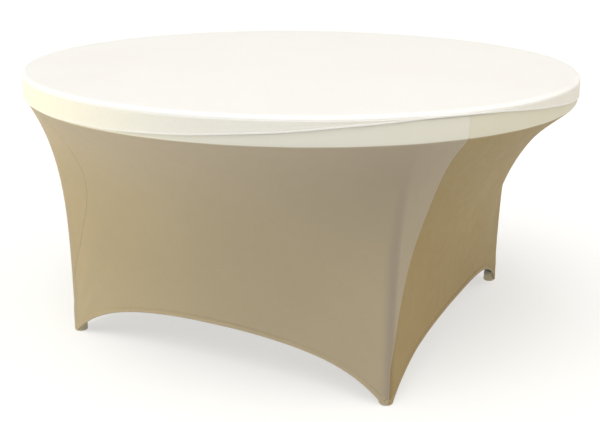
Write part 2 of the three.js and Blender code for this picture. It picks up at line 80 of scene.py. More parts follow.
HEM_END = 0.003  # hem above the floor at a foot
HEM_MIDDLE = hem_high.z - 0.0125  # hem at the middle of a side
HEM_SHARPNESS = 2.5  # power of the hem's arch at the middle of a side
HEM_FOOT_SHARPNESS = 1.6  # what the power gains towards a foot
HEM_WIDTH = 0.014
FOOT_REACH = 0.014  # the hem stays down this far from a corner

SEAM_TURN = math.radians(10)  # how far the seams lean round the table at the rim
SEAM_LEAN_TO = 0.9  # share of the way down the skirt where a seam is back on its leg
SEAM_EDGE_GAP = 0.0003
WELT_HALF_WIDTH = 0.0010
ALLOWANCE_WIDTH = 0.006
SEAM_DIP_WIDTH = 0.0016

POCKET_CLOTH = 0.0007
POCKET_RADIUS = 0.0163
POCKET_OUTSIDE = 0.049  # height of the pocket at its outer side
POCKET_INSIDE = 0.024
POCKET_FLOOR = 0.0013
POCKET_BEND = 0.0030  # the pocket's side starts at this height
POCKET_TOP = pocket_high.z + 0.004
POCKET_FADE = 0.04

FAN_HEIGHT = 0.0005
FAN_FOLDS = 13
FAN_REACH = 0.55
CREASE_HEIGHT = 0.0009
CREASE_WIDTH = 0.010
CREASE_START = 0.030
CREASE_LEAN = 0.55
CREASE_TOP = 0.16
TUCK_HEIGHT = 0.0003
SEAM_DIP = 0.0002

# Painted shade on the skirt: under the rim, and beside the legs where the cloth stands off the tubes; where
# the cloth lies on a tube, the tube shows through.
RIM_SHADE = 0.45
RIM_SHADE_REACH = 0.6  # share of the skirt's height that the shade under the rim reaches down
TUBE_SHADE = 0.85
TUBE_SHADE_WIDTH = 0.014
TUBE_SHADE_FADE = 0.09

STITCH_LENGTH = 0.0028
STITCH_RADIUS = 0.00028
STITCH_TAPER = 0.3  # share of a stitch's length from its middle to where it starts to thin
COVER_STITCH_SPACING = 0.0038

# ---------------------------------------------------------------- the topper's sizes
TOPPER_INNER_Z = DISC_Z + 0.0003
TOPPER_RADIUS = COVER_RADIUS + CLOTH + 0.0008
TOPPER_CORNER = 0.0100
TOPPER_SEAM_Z = TOPPER_INNER_Z - TOPPER_CORNER
TOPPER_DEPTH = 0.0645
TOPPER_RISE = 0.051  # how far the hem has ridden up
TOPPER_RISE_AT = math.radians(-38)
TOPPER_RISE_SPREAD = math.radians(38)
ELASTIC_HEIGHT = 0.004
TOPPER_STITCH_SPACING = 0.0042

# ---------------------------------------------------------------- places round the table
SIDES = ["right", "back", "left", "front"]
CORNERS = [(1, -1), (1, 1), (-1, 1), (-1, -1)]
SIDE_LENGTH = 2 * LEG_X
SKIRT_HEIGHT = RIM_Z - HEM_END
SEAM_EDGE = SEAM_EDGE_GAP / SIDE_LENGTH
MERGE_DISTANCE = 1e-6
FULL_TURN = 2 * math.pi

# ---------------------------------------------------------------- camera
CAMERA_AZIMUTH = math.radians(26.37)
CAMERA_AWAY = 2.670
CAMERA_HEIGHT = 1.135
CAMERA_PITCH = 0.3045
CAMERA_ROLL = 0.0087
CAMERA_LENS = 56.16
CAMERA_SENSOR = 36


def make_camera():
    data = bpy.data.cameras.new("camera")
    data.sensor_width = CAMERA_SENSOR
    data.lens = CAMERA_LENS
    camera = bpy.data.objects.new("camera", data)
    bpy.context.scene.collection.objects.link(camera)
    sideways = Vector((math.sin(CAMERA_AZIMUTH), -math.cos(CAMERA_AZIMUTH), 0))
    camera.location = sideways * CAMERA_AWAY + Vector((0, 0, CAMERA_HEIGHT))
    forward = -sideways * math.cos(CAMERA_PITCH) - Vector((0, 0, math.sin(CAMERA_PITCH)))
    right = forward.cross(Vector((0, 0, 1))).normalized()
    right = Matrix.Rotation(-CAMERA_ROLL, 3, forward) @ right
    up = right.cross(forward)
    turned = Matrix((right, up, -forward)).transposed()
    camera.rotation_euler = turned.to_euler()
    bpy.context.scene.camera = camera


# ---------------------------------------------------------------- material helpers
def new_material(name):
    material = bpy.data.materials.new(name)
    material.use_nodes = True
    nodes = material.node_tree.nodes
    return material, nodes, material.node_tree.links, nodes["Principled BSDF"]


def mix_colour(nodes, links, factor, first, second):
    mix = nodes.new("ShaderNodeMix")
    mix.data_type = "RGBA"
    links.new(factor, mix.inputs["Factor"])
    for socket, value in (("A", first), ("B", second)):
        target = [s for s in mix.inputs if s.name == socket and s.type == "RGBA"][0]
        if isinstance(value, bpy.types.NodeSocket):
            links.new(value, target)
        else:
            target.default_value = (*value, 1)
    return [s for s in mix.outputs if s.type == "RGBA"][0]


def math_node(nodes, links, operation, first, second=None):
    node = nodes.new("ShaderNodeMath")
    node.operation = operation
    for i, value in enumerate((first, second)):
        if isinstance(value, bpy.types.NodeSocket):
            links.new(value, node.inputs[i])
        elif value is not None:
            node.inputs[i].default_value = value
    return node.outputs[0]


def noise(nodes, links, vector, scale, detail=3.0):
    node = nodes.new("ShaderNodeTexNoise")
    node.inputs["Scale"].default_value = scale
    node.inputs["Detail"].default_value = detail
    links.new(vector, node.inputs["Vector"])
    return node.outputs["Fac"]


def ramp(nodes, links, value, low, high):
    node = nodes.new("ShaderNodeMapRange")
    node.inputs["From Min"].default_value = low
    node.inputs["From Max"].default_value = high
    links.new(value, node.inputs["Value"])
    return node.outputs["Result"]


def attribute(nodes, name):
    node = nodes.new("ShaderNodeAttribute")
    node.attribute_name = name
    return node


def add_bump(nodes, links, shader, height, strength, distance):
    bump = nodes.new("ShaderNodeBump")
    bump.inputs["Strength"].default_value = strength
    bump.inputs["Distance"].default_value = distance
    links.new(height, bump.inputs["Height"])
    links.new(bump.outputs["Normal"], shader.inputs["Normal"])


def darker(colour, share):
    return tuple(share * c for c in colour)


# ---------------------------------------------------------------- materials
WHITE = (1.0, 1.0, 1.0)
TOPPER_COLOUR = (0.96, 0.955, 0.935)
TOPPER_SHADE = (0.945, 0.935, 0.905)
# The topper's upright band is a darker, yellower copy of its top's cloth: painted shade on the upright side.
BAND_SHADED_COLOUR = (0.88, 0.865, 0.79)
BAND_SHADED_TONE = (0.865, 0.85, 0.77)
COVER_COLOUR = (0.425, 0.36, 0.247)
COVER_SHADE = (0.41, 0.342, 0.23)
# The right side's copies of the cover colours are warmer and darker: painted warm light falling on that side.
RIGHT_WARM_LIT_COLOUR = (0.385, 0.292, 0.13)
RIGHT_WARM_LIT_SHADE = (0.365, 0.27, 0.115)
# The hem and the foot pockets are lighter than the skirt: painted light where they turn outwards and catch
# it.
HEM_LIT_COLOUR = (0.455, 0.38, 0.255)
HEM_LIT_SHADE = (0.435, 0.36, 0.24)
RIGHT_HEM_WARM_LIT_COLOUR = (0.40, 0.31, 0.16)
RIGHT_HEM_WARM_LIT_SHADE = (0.385, 0.29, 0.145)
POCKET_LIT_COLOUR = (0.58, 0.51, 0.35)
POCKET_LIT_SHADE = (0.53, 0.46, 0.31)
# Colour of the cloth over a leg tube, also used for the painted shade under the rim and beside the legs.
OVER_TUBE_AND_SHADE = (0.33, 0.275, 0.215)
OVER_PLASTIC = (0.80, 0.785, 0.69)
RIGHT_WARM_LIT_OVER_TUBE_AND_SHADE = (0.27, 0.20, 0.10)
RIGHT_WARM_LIT_OVER_PLASTIC = (0.765, 0.735, 0.60)
COVER_THREAD_COLOUR = (0.45, 0.375, 0.255)
TOPPER_THREAD_COLOUR = (0.86, 0.84, 0.77)
PLASTIC_COLOUR = (0.74, 0.73, 0.69)
PLASTIC_WORN = (0.60, 0.58, 0.53)
STEEL_COLOUR = (0.16, 0.165, 0.175)
STEEL_WORN = (0.30, 0.29, 0.28)
ZINC_COLOUR = (0.62, 0.62, 0.60)
ZINC_WORN = (0.45, 0.44, 0.40)
RUBBER_COLOUR = (0.36, 0.33, 0.28)
RUBBER_WORN = (0.44, 0.41, 0.36)

KNIT_PITCH = 0.0011
HEM_PITCH = 0.0014
KNIT_SHEEN = 0.25
RIGHT_SHEEN = 0.05
WEAR = 0.25


def knit_colour(nodes, links, solid, colour, shade, over_tube_and_shade, over_plastic):
    """Mottled, faintly specked cloth, thin enough to show what lies behind it, with painted shade under the
    rim and beside the legs.
    """
    mottled = ramp(nodes, links, noise(nodes, links, solid, scale=3.5), low=0.3, high=0.7)
    base = mix_colour(nodes, links, mottled, colour, shade)
    specks = ramp(nodes, links, noise(nodes, links, solid, scale=260), low=0.4, high=0.75)
    specks = math_node(nodes, links, "MULTIPLY", specks, 0.22)
    base = mix_colour(nodes, links, specks, base, darker(colour, 0.82))
    # Painted shade under the rim and beside the legs, with a leg tube showing through, darkens the cloth
    # here.
    behind = attribute(nodes, "tube_show_and_painted_shade").outputs["Fac"]
    base = mix_colour(nodes, links, behind, base, over_tube_and_shade)
    if over_plastic:
        backed = attribute(nodes, "plastic_behind").outputs["Fac"]
        base = mix_colour(nodes, links, backed, base, over_plastic)
    return base


def knit_height(nodes, links, solid, pitch):
    """Wales and courses of the knit, with the fuzz of its fibres."""
    split = nodes.new("ShaderNodeSeparateXYZ")
    links.new(attribute(nodes, "cloth_place").outputs["Vector"], split.inputs[0])
    rows = []
    for axis, size in (("X", pitch), ("Y", pitch * 0.8)):
        turns = math_node(nodes, links, "MULTIPLY", split.outputs[axis], FULL_TURN / size)
        rows.append(math_node(nodes, links, "SINE", turns))
    courses = math_node(nodes, links, "MULTIPLY", rows[1], 0.5)
    loops = math_node(nodes, links, "ADD", rows[0], courses)
    fuzz = math_node(nodes, links, "MULTIPLY", noise(nodes, links, solid, scale=900, detail=2.0), 1.5)
    return math_node(nodes, links, "ADD", loops, fuzz)


def knit(name, colour, shade, over_tube_and_shade, over_plastic=None, pitch=KNIT_PITCH, sheen=KNIT_SHEEN):
    """Stretch jersey."""
    material, nodes, links, shader = new_material(name)
    solid = nodes.new("ShaderNodeTexCoord").outputs["Object"]
    base = knit_colour(nodes, links, solid, colour, shade, over_tube_and_shade, over_plastic)
    links.new(base, shader.inputs["Base Color"])
    add_bump(nodes, links, shader, knit_height(nodes, links, solid, pitch), strength=0.35, distance=0.00012)
    rough = ramp(nodes, links, noise(nodes, links, solid, scale=40), low=-1.2, high=1.4)
    links.new(rough, shader.inputs["Roughness"])
    shader.inputs["Sheen Weight"].default_value = sheen
    shader.inputs["Sheen Roughness"].default_value = 0.45
    shader.inputs["Specular IOR Level"].default_value = 0.25
    return material


def thread(name, colour):
    """Twisted sewing thread."""
    material, nodes, links, shader = new_material(name)
    solid = nodes.new("ShaderNodeTexCoord").outputs["Object"]
    twist = ramp(nodes, links, noise(nodes, links, solid, scale=1400, detail=1.0), low=0.3, high=0.7)
    base = mix_colour(nodes, links, twist, colour, darker(colour, 0.75))
    links.new(base, shader.inputs["Base Color"])
    shader.inputs["Roughness"].default_value = 0.55
    shader.inputs["Sheen Weight"].default_value = 0.2
    return material


def hard(name, colour, worn, roughness, metallic, grain, depth):
    """Moulded or coated material with worn patches, and a grain of that scale and depth."""
    material, nodes, links, shader = new_material(name)
    solid = nodes.new("ShaderNodeTexCoord").outputs["Object"]
    patches = ramp(nodes, links, noise(nodes, links, solid, scale=18, detail=6.0), low=0.45, high=0.8)
    patches = math_node(nodes, links, "MULTIPLY", patches, WEAR)
    links.new(mix_colour(nodes, links, patches, colour, worn), shader.inputs["Base Color"])
    shader.inputs["Metallic"].default_value = metallic
    rough = noise(nodes, links, solid, scale=55, detail=4.0)
    rough = ramp(nodes, links, rough, low=0.5 - roughness, high=1.5 - roughness)
    links.new(rough, shader.inputs["Roughness"])
    add_bump(nodes, links, shader, noise(nodes, links, solid, grain), strength=0.4, distance=depth)
    return material


topper_knit = knit("topper_knit", TOPPER_COLOUR, TOPPER_SHADE, TOPPER_SHADE)
# The topper's cloth with painted shade, for its upright band.
band_knit_painted_shade = knit("topper_band_knit_painted_shade", BAND_SHADED_COLOUR, BAND_SHADED_TONE, BAND_SHADED_TONE)
cover_knit = knit("cover_knit", COVER_COLOUR, COVER_SHADE, OVER_TUBE_AND_SHADE, OVER_PLASTIC)
# Copies of the cover and hem cloth with painted warm light, for the right side.
right_warm_lit_knit = knit(
    "cover_knit_right_painted_warm_light", RIGHT_WARM_LIT_COLOUR, RIGHT_WARM_LIT_SHADE, RIGHT_WARM_LIT_OVER_TUBE_AND_SHADE, RIGHT_WARM_LIT_OVER_PLASTIC, sheen=RIGHT_SHEEN
)
# Hem and pocket cloth with painted light.
hem_knit = knit("hem_knit", HEM_LIT_COLOUR, HEM_LIT_SHADE, OVER_TUBE_AND_SHADE, pitch=HEM_PITCH)
right_warm_lit_hem_knit = knit(
    "hem_knit_right_painted_warm_light", RIGHT_HEM_WARM_LIT_COLOUR, RIGHT_HEM_WARM_LIT_SHADE, RIGHT_WARM_LIT_OVER_TUBE_AND_SHADE, pitch=HEM_PITCH, sheen=RIGHT_SHEEN
)
pocket_knit_painted_light = knit("pocket_knit_painted_light", POCKET_LIT_COLOUR, POCKET_LIT_SHADE, OVER_TUBE_AND_SHADE, pitch=HEM_PITCH)
cover_thread = thread("cover_thread", COVER_THREAD_COLOUR)
topper_thread = thread("topper_thread", TOPPER_THREAD_COLOUR)
plastic = hard(
    "moulded_plastic", PLASTIC_COLOUR, PLASTIC_WORN, roughness=0.55, metallic=0.0, grain=420, depth=0.0003
)
coated_steel = hard(
    "coated_steel", STEEL_COLOUR, STEEL_WORN, roughness=0.45, metallic=0.0, grain=700, depth=0.00006
)
zinc_steel = hard(
    "zinc_steel", ZINC_COLOUR, ZINC_WORN, roughness=0.35, metallic=1.0, grain=900, depth=0.00003
)
foot_rubber = hard(
    "foot_rubber", RUBBER_COLOUR, RUBBER_WORN, roughness=0.7, metallic=0.0, grain=500, depth=0.0001
)


# ---------------------------------------------------------------- the cover's surface
# Round the table, the whole number of g is the side and its fraction the place along that side.
# down is -1 at the rim's seam, 0 at the rim's foot and 1 at the hem.
def smooth(x):
    x = np.clip(x, 0, 1)
    return x * x * (3 - 2 * x)


def bell(x):
    return np.exp(-(x * x))


def unit(vectors):
    return vectors / np.linalg.norm(vectors, axis=-1, keepdims=True)


def from_middle(g):
    """0 at the middle of a side and 1 at its legs."""
    return np.abs(2 * (g - np.floor(g)) - 1)


def from_leg(g):
    """Metres along a side to the nearest leg, with all four sides taken to be as long as the front one."""
    return np.abs(g - np.round(g)) * SIDE_LENGTH


def side_geometry(k):
    start = np.array([CORNERS[k][0] * LEG_X, CORNERS[k][1] * LEG_Y])
    end = np.array([CORNERS[(k + 1) % 4][0] * LEG_X, CORNERS[(k + 1) % 4][1] * LEG_Y])
    straight = np.linalg.norm(end - start)
    along = (end - start) / straight
    outward = np.array([along[1], -along[0]])
    return start, along, outward, straight


def base_place(g, inset):
    """The line round the legs that the skirt tightens to."""
    g, inset = np.broadcast_arrays(g, inset)
    out = np.zeros(g.shape + (2,))
    for side in np.unique(np.floor(g)):
        here = np.floor(g) == side
        start, along, outward, straight = side_geometry(int(side) % 4)
        reach = inset[here]
        arc = reach * math.pi / 4
        travelled = (g[here] - side) * (straight + 2 * arc)
        share = np.clip((travelled - arc) / straight, 0, 1)
        turn = (np.minimum(travelled - arc, 0) + np.maximum(travelled - arc - straight, 0)) / reach
        facing = np.cos(turn)[:, None] * outward + np.sin(turn)[:, None] * along
        bow = SKIRT_BOW * np.sin(np.pi * share)
        line = start + along * (share * straight)[:, None]
        out[here] = line + facing * reach[:, None] + outward * bow[:, None]
    return out


def rim_place(g):
    """The circle of the table's edge, shared out between the legs."""
    half = math.atan2(LEG_Y, LEG_X)
    spans = np.where(np.mod(np.floor(g), 2) == 0, 2 * half, math.pi - 2 * half)
    start = -half + np.floor(g / 2) * math.pi + np.mod(np.floor(g), 2) * 2 * half
    angle = start + (g - np.floor(g)) * spans
    return COVER_RADIUS * np.stack([np.cos(angle), np.sin(angle)], -1)


def hem_height(g):
    """The hem's arch between two feet."""
    s = np.minimum(1, from_middle(g) / (1 - 2 * FOOT_REACH / SIDE_LENGTH))
    return HEM_END + (HEM_MIDDLE - HEM_END) * (1 - s ** (HEM_SHARPNESS + HEM_FOOT_SHARPNESS * s * s))


def plain_surface(g, down):
    """The cover without its folds: up the table's edge, under it and inwards to the line round the legs."""
    below = np.where(down < 0, down * (DISC_SEAM_Z - RIM_Z), down * (RIM_Z - hem_height(g)))
    rolled = 0.5 * (below + np.sqrt(below**2 + RIM_ROLL**2))
    rolled = rolled * smooth((DISC_SEAM_Z - RIM_Z + below) / RIM_FADE)
    drop = np.clip(rolled / (RIM_Z - hem_height(g)), 0, 1)
    height = RIM_Z - below
    inset = COVER_INSET + (TUBE_INSET - COVER_INSET) * smooth((height - POCKET_TOP) / POCKET_FADE)
    power = FLARE_AT_MIDDLE + (FLARE_AT_LEG - FLARE_AT_MIDDLE) * from_middle(g) ** 2
    power = power - FULLNESS * bell((np.mod(g, 4) - FULLNESS_AT) / FULLNESS_SPREAD)
    share = ((1 - drop) ** power)[..., None]
    flat = base_place(g, inset) * (1 - share) + rim_place(g) * share
    return np.concatenate([flat, height[..., None]], -1)


def surface_slopes(g, down):
    step = 5e-4
    across = (plain_surface(g + step, down) - plain_surface(g - step, down)) / (2 * step)
    low = np.minimum(1, down + step)
    high = np.maximum(-1, down - step)
    along = (plain_surface(g, low) - plain_surface(g, high)) / (low - high)[..., None]
    return across, along


def surface_normal(g, down):
    across, along = surface_slopes(g, down)
    return unit(np.cross(along, across))


def seam_turn(down):
    """How far a seam stands ahead of its leg, in g."""
    bulge = 1 + 0.12 * bell((down - 0.3) / 0.18)
    return SEAM_TURN / (math.pi / 2) * bulge * (1 - smooth((down - 0.3) / (SEAM_LEAN_TO - 0.3)))


def foot_fan(near, up, corner):
    """Soft folds that fan out from a foot."""
    angle = np.arctan2(up, near + 1e-6)
    distance = np.hypot(near, up)
    folds = np.sin(FAN_FOLDS * angle + corner * 1.7)
    ends = smooth((distance - 0.04) / 0.10) * smooth((FAN_REACH - distance) / 0.40)
    return folds * ends * smooth(angle / 0.3) * smooth(near / 0.04)


def leg_crease(near, up):
    """One long crease that leans away from each foot."""
    place = CREASE_START + CREASE_LEAN * up
    return bell((near - place) / CREASE_WIDTH) * smooth(up / 0.02) * smooth((CREASE_TOP - up) / 0.10)


def rim_tucks(g, down):
    """Short, uneven tucks where the skirt leaves the table's edge."""
    return np.sin(g * 57 + 0.9 * np.sin(g * 23)) * bell((down - 0.03) / 0.05)


def pull_lines(g, down):
    """How proud the soft folds stand, in metres."""
    near = from_leg(g)
    up = (1 - down) * SKIRT_HEIGHT
    from_seam = (g - np.round(g) - seam_turn(down)) * SIDE_LENGTH
    folds = FAN_HEIGHT * foot_fan(near, up, np.round(g)) + CREASE_HEIGHT * leg_crease(near, up)
    return folds + TUCK_HEIGHT * rim_tucks(g, down) - SEAM_DIP * bell(from_seam / SEAM_DIP_WIDTH)


def cover_surface(g, down, lift=0.0):
    """A point of the cover's inner face, or lift metres outside it."""
    g, down = np.broadcast_arrays(np.asarray(g, float), np.asarray(down, float))
    proud = pull_lines(g, down) + lift
    return plain_surface(g, down) + surface_normal(g, down) * proud[..., None]


def tube_show_and_painted_shade(g, points):
    """Highest where the cloth lies on a leg tube and the tube shows through; as the cloth leaves the tube it
    falls off slowly, as painted shade of the leg.
    """
    gap = np.full(g.shape, np.inf)
    for x, y in CORNERS:
        gap = np.minimum(gap, np.hypot(points[..., 0] - x * LEG_X, points[..., 1] - y * LEG_Y) - TUBE_INSET)
    gap = np.maximum(gap, 0)
    blur = TUBE_SHADE_WIDTH + 0.15 * gap
    return TUBE_SHADE * bell(from_leg(g) / blur) / (1 + gap / TUBE_SHADE_FADE)


def painted_rim_shade(down):
    """Painted shade under the rim: highest just under it, where the table top shades the cloth, fading down
    the skirt.
    """
    return RIM_SHADE * (1 - smooth(down / RIM_SHADE_REACH)) * smooth(down / 0.01)


# ---------------------------------------------------------------- meshes
def link(obj):
    bpy.context.scene.collection.objects.link(obj)
    return obj


def shade_points(mesh, name, values):
    """Store one number for each point of a mesh, for its material to read."""
    stored = mesh.attributes.new(name, "FLOAT", "POINT")
    stored.data.foreach_set("value", np.asarray(values, np.float32).reshape(-1))


def mesh_object(name, vertices, faces, material, place=None, shades=None):
    """A mesh with its points' places on the flat cloth and its shades, where they are given."""
    mesh = bpy.data.meshes.new(name)
    mesh.from_pydata([tuple(v) for v in vertices], [], faces)
    if place is not None:
        flat = np.zeros((len(mesh.vertices), 3), np.float32)
        flat[:, :2] = place.reshape(-1, 2)
        vector = mesh.attributes.new("cloth_place", "FLOAT_VECTOR", "POINT")
        vector.data.foreach_set("vector", flat.reshape(-1))
    for shade, values in (shades or {}).items():
        shade_points(mesh, shade, values)
    mesh.materials.append(material)
    cleaner = bmesh.new()
    cleaner.from_mesh(mesh)
    bmesh.ops.remove_doubles(cleaner, verts=cleaner.verts, dist=MERGE_DISTANCE)
    bmesh.ops.dissolve_degenerate(cleaner, edges=cleaner.edges, dist=MERGE_DISTANCE / 10)
    cleaner.to_mesh(mesh)
    cleaner.free()
    mesh.shade_smooth()
    return link(bpy.data.objects.new(name, mesh))


def grid_faces(columns, rows, wraps_columns=False, wraps_rows=False):
    faces = []
    for i in range(columns if wraps_columns else columns - 1):
        n = (i + 1) % columns
        for j in range(rows if wraps_rows else rows - 1):
            m = (j + 1) % rows
            faces.append((i * rows + j, i * rows + m, n * rows + m, n * rows + j))
    return faces


def cloth_object(name, points, place, material, wraps=False, shades=None, thickness=CLOTH):
    """A cloth from a grid of points, columns then rows, made thick outwards."""
    columns, rows = points.shape[:2]
    faces = grid_faces(columns, rows, wraps)
    obj = mesh_object(name, points.reshape(-1, 3), faces, material, place, shades)
    solid = obj.modifiers.new("thickness", "SOLIDIFY")
    solid.thickness = thickness
    solid.offset = 1
    return obj


def ring_object(name, rings, material, closed=False):
    """A closed body swept through rings of points, one ring after another."""
    count, size = rings.shape[:2]
    faces = grid_faces(count, size, closed, True)
    if not closed:
        faces.append(tuple(range(size - 1, -1, -1)))
        faces.append(tuple((count - 1) * size + j for j in range(size)))
    along = np.cumsum(np.r_[0, np.linalg.norm(np.diff(rings.mean(1), axis=0), axis=1)])
    round_it = np.cumsum(np.r_[0, np.linalg.norm(np.diff(rings[0], axis=0), axis=1)])
    place = np.stack(np.meshgrid(along, round_it, indexing="ij"), -1)
    return mesh_object(name, rings.reshape(-1, 3), faces, material, place)


def stitch_object(name, centres, directions, normals, material):
    """Short raised stitches: each is a slim body with two pointed ends."""
    sideways = np.cross(directions, normals)
    vertices = []
    faces = []
    for c, d, n, s in zip(centres, directions, normals, sideways):
        first = len(vertices)
        vertices.append(c - d * STITCH_LENGTH / 2)
        for end in (-STITCH_TAPER, STITCH_TAPER):
            for quarter in range(4):
                turn = quarter * math.pi / 2
                out = n * math.cos(turn) + s * math.sin(turn)
                vertices.append(c + d * STITCH_LENGTH * end + out * STITCH_RADIUS)
        vertices.append(c + d * STITCH_LENGTH / 2)
        for j in range(4):
            n1 = (j + 1) % 4
            faces.append((first, first + 1 + n1, first + 1 + j))
            faces.append((first + 1 + j, first + 1 + n1, first + 5 + n1, first + 5 + j))
            faces.append((first + 9, first + 5 + j, first + 5 + n1))
    return mesh_object(name, vertices, faces, material)


def along_line(points, spacing):
    """Even places along a line of points, as centres and directions."""
    steps = np.linalg.norm(np.diff(points, axis=0), axis=1)
    travelled = np.r_[0, np.cumsum(steps)]
    wanted = np.arange(spacing / 2, travelled[-1], spacing)
    at, ahead, behind = (
        np.stack([np.interp(wanted + shift, travelled, points[:, i]) for i in range(3)], -1)
        for shift in (0, spacing / 4, -spacing / 4)
    )
    return at, unit(ahead - behind)


def stitch_line(name, points, normals, material, spacing):
    at, directions = along_line(points, spacing)
    nearest = np.argmin(np.linalg.norm(at[:, None, :] - points[None, :, :], axis=2), axis=1)
    return stitch_object(name, at, directions, normals[nearest], material)


def crowded_ends(count):
    """Shares from 0 to 1, closest together at both ends."""
    even = np.linspace(0, 1, count)
    return 0.35 * even + 0.65 * (0.5 - 0.5 * np.cos(np.pi * even))


def lengths_on_grid(points):
    """Metres across and along a grid, from its middle column and first row."""
    across = np.linalg.norm(np.diff(points, axis=0), axis=2)
    along = np.linalg.norm(np.diff(points, axis=1), axis=2)
    across = np.concatenate([np.zeros((1, points.shape[1])), np.cumsum(across, 0)], 0)
    along = np.concatenate([np.zeros((points.shape[0], 1)), np.cumsum(along, 1)], 1)
    middle = across.shape[0] // 2
    return np.stack([across - across[middle], along], -1)


# ---------------------------------------------------------------- base cover
def panel_places(k, columns, rows):
    """Places of panel k: columns follow its seams, and rows are closest together where the cloth rolls."""
    t = crowded_ends(columns)[:, None]
    band = np.linspace(-1, -0.06, 9)
    roll = np.linspace(-0.05, 0.012, 8)
    skirt = 0.018 + 0.982 * np.linspace(0, 1, rows) ** 1.1
    down = np.r_[band, roll, skirt][None, :]
    g = k + seam_turn(down) + SEAM_EDGE + t * (1 - 2 * SEAM_EDGE)
    return np.broadcast_arrays(g, down)


def make_panel(k):
    g, down = panel_places(k, columns=130, rows=64)
    points = cover_surface(g, down)
    name = "cover_skirt_" + SIDES[k]
    shades = {
        # The painted shade under the rim joins the tube showing through and the painted shade beside the
        # legs.
        "tube_show_and_painted_shade": np.maximum(tube_show_and_painted_shade(g, points), painted_rim_shade(down)),
        "plastic_behind": smooth((0.004 - down) / 0.008),
    }
    # The right panel gets the copy with painted warm light.
    material = right_warm_lit_knit if SIDES[k] == "right" else cover_knit
    panel = cloth_object(name, points, lengths_on_grid(points), material, shades=shades)
    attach(panel, "root")
    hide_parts("cover_panel_" + SIDES[k])
    return panel


def hem_places(k, columns=140):
    """Places along the hem of side k, the steps in g and down that lead one metre up, and the hem's width."""
    g = k + SEAM_EDGE + crowded_ends(columns) * (1 - 2 * SEAM_EDGE)
    down = np.ones(columns)
    edge = plain_surface(g, down)
    across, along = surface_slopes(g, down)
    normal = surface_normal(g, down)
    direction = unit(np.gradient(edge, axis=0))
    upward = np.cross(direction, normal)
    upward *= np.sign(upward[:, 2])[:, None]
    steps = np.zeros((columns, 2))
    for i in range(columns):
        steps[i] = np.linalg.lstsq(np.stack([across[i], along[i]], -1), upward[i], rcond=None)[0]
    room = 0.85 * from_leg(g) / np.maximum(np.abs(steps[:, 0]) * SIDE_LENGTH, 1e-6)
    width = np.minimum(HEM_WIDTH, np.maximum(room, 0.0015))
    return g, steps, width


def hem_line(g, steps, width, share, lift):
    """The line at a share of the hem's width above its edge."""
    return cover_surface(g + steps[:, 0] * width * share, 1 + steps[:, 1] * width * share, lift)


def make_hem(k):
    """The hem folded round the skirt's edge, and its two rows of stitches."""
    g, steps, width = hem_places(k)
    outer_face = ((1, 0.0001), (0.97, 0.0005), (0.7, 0.0006), (0.4, 0.0006), (0.12, 0.0007))
    inner_face = ((0.12, 0.0006), (0.4, 0.0005), (0.7, 0.0005), (0.97, 0.0004))
    outside = [hem_line(g, steps, width, share, CLOTH + lift) for share, lift in outer_face]
    inside = [hem_line(g, steps, width, share, -lift) for share, lift in inner_face]
    below = hem_line(g, steps, width, 0, CLOTH / 2) + np.array([0, 0, -0.0006])
    rings = np.stack(outside + [below] + inside, 1)
    # The right hem gets the copy with painted warm light.
    material = right_warm_lit_hem_knit if SIDES[k] == "right" else hem_knit
    hem = ring_object("cover_hem_fold_" + SIDES[k], rings, material)
    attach(hem, "root")
    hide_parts("cover_hem_" + SIDES[k])
    pieces = [hem]
    kept = from_leg(g) > 0.012
    normals = surface_normal(g, np.ones(len(g)))
    for row, share in (("upper", 0.88), ("lower", 0.66)):
        line = hem_line(g, steps, width, share, CLOTH + 0.0008)
        name = f"hem_stitches_{row}_{SIDES[k]}"
        stitches = stitch_line(name, line[kept], normals[kept], cover_thread, COVER_STITCH_SPACING)
        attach(stitches, "root")
        pieces.append(stitches)
    return pieces


def seam_rings(k, down, reach, section):
    """Rings along the seam at leg k. section lists (share of reach, height over the cover's inner face)."""
    g = k + seam_turn(down)
    step = reach / SIDE_LENGTH
    return np.stack([cover_surface(g + share * step, down, lift) for share, lift in section], 1)


def make_seam(k):
    """The joined edges of two panels: a slim welt outside and an overlocked allowance inside."""
    down = np.r_[np.linspace(-0.98, -0.06, 12), np.linspace(-0.05, 0.02, 8), np.linspace(0.03, 0.985, 90)]
    section = [(-1.0, 0.0000), (-0.55, 0.0002), (0, 0.0003), (0.55, 0.0002), (1.0, 0.0000)]
    outside = [(share, CLOTH + lift) for share, lift in section]
    rings = seam_rings(k, down, WELT_HALF_WIDTH, outside)
    welt = ring_object(f"seam_welt_{k + 1}", rings[:, ::-1], cover_knit)
    over_edge = [1.0 if v.co.z > RIM_Z + 0.001 else 0.0 for v in welt.data.vertices]
    shade_points(welt.data, "plastic_behind", over_edge)
    above_pocket = plain_surface(k + seam_turn(down), down)[:, 2] > POCKET_TOP + 0.012
    inner = down[(down > -0.9) & above_pocket]
    section = [(0, -0.0001), (0.5, -0.0001), (1, -0.0001), (1, -0.0008), (0.5, -0.0008), (0, -0.0008)]
    rings = seam_rings(k, inner, ALLOWANCE_WIDTH, section)
    allowance = ring_object(f"seam_allowance_{k + 1}", rings, cover_thread)
    for piece in (welt, allowance):
        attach(piece, "root")
    return [welt, allowance]


